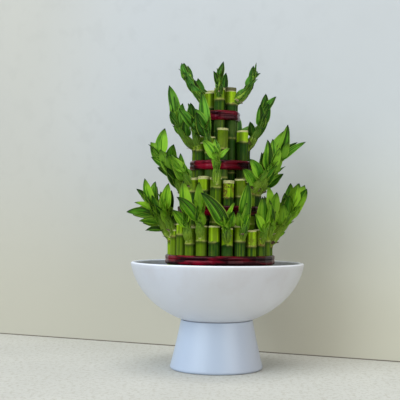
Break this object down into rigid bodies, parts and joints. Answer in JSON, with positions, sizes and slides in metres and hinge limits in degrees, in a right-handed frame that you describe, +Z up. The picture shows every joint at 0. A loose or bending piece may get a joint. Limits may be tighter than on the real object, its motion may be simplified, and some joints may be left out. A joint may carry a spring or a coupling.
{
  "type": "lucky bamboo",
  "caption": "Tiered tower of cut bamboo canes with leafy shoots, tied with glossy red bands and standing in pebbles in a white footed bowl.",
  "frame": {"origin": "middle of the foot's base, on the surface that it stands on", "axes": "+Z up, -Y towards the front, +X to the right as seen from the front"},
  "size_m": [0.1871, 0.1814, 0.3194],
  "materials": {
    "glaze": "satin white",
    "pebbles": "dark, wet",
    "ribbon": "glossy red",
    "plant": "waxy green"
  },
  "bodies": {
    "root": {"cane_inner_01": "plant", "cane_inner_02": "plant", "cane_inner_03": "plant", "cane_inner_04": "plant", "cane_inner_05": "plant", "cane_inner_06": "plant", "cane_outer_01": "plant", "cane_outer_02": "plant", "cane_outer_03": "plant", "cane_outer_04": "plant", "cane_outer_05": "plant", "cane_outer_06": "plant", "cane_outer_07": "plant", "cane_outer_08": "plant", "cane_outer_09": "plant", "cane_outer_16": "plant", "cane_outer_17": "plant", "cane_outer_18": "plant", "cane_outer_19": "plant", "cane_outer_20": "plant", "cane_outer_21": "plant", "cane_outer_22": "plant", "cane_outer_23": "plant", "cane_outer_24": "plant", "cane_second_01": "plant", "cane_second_02": "plant", "cane_second_03": "plant", "cane_second_04": "plant", "cane_second_05": "plant", "cane_second_06": "plant", "cane_second_07": "plant", "cane_second_12": "plant", "cane_second_13": "plant", "cane_second_14": "plant", "cane_second_15": "plant", "cane_second_16": "plant", "cane_second_17": "plant", "cane_second_18": "plant", "cane_third_01": "plant", "cane_third_03": "plant", "cane_third_04": "plant", "cane_third_05": "plant", "cane_third_06": "plant", "cane_third_09": "plant", "cane_third_10": "plant", "cane_third_11": "plant", "cane_third_12": "plant", "canes_outer_10_11": "plant", "canes_outer_12_13": "plant", "canes_outer_14_15": "plant", "canes_second_08_09": "plant", "canes_second_10_11": "plant", "canes_third_07_08": "plant", "pebbles": "pebbles", "pot_bowl": "glaze", "pot_foot": "glaze", "tie_inner": "ribbon", "tie_outer": "ribbon", "tie_second": "ribbon", "tie_third": "ribbon"}
  },
  "joints": []
}
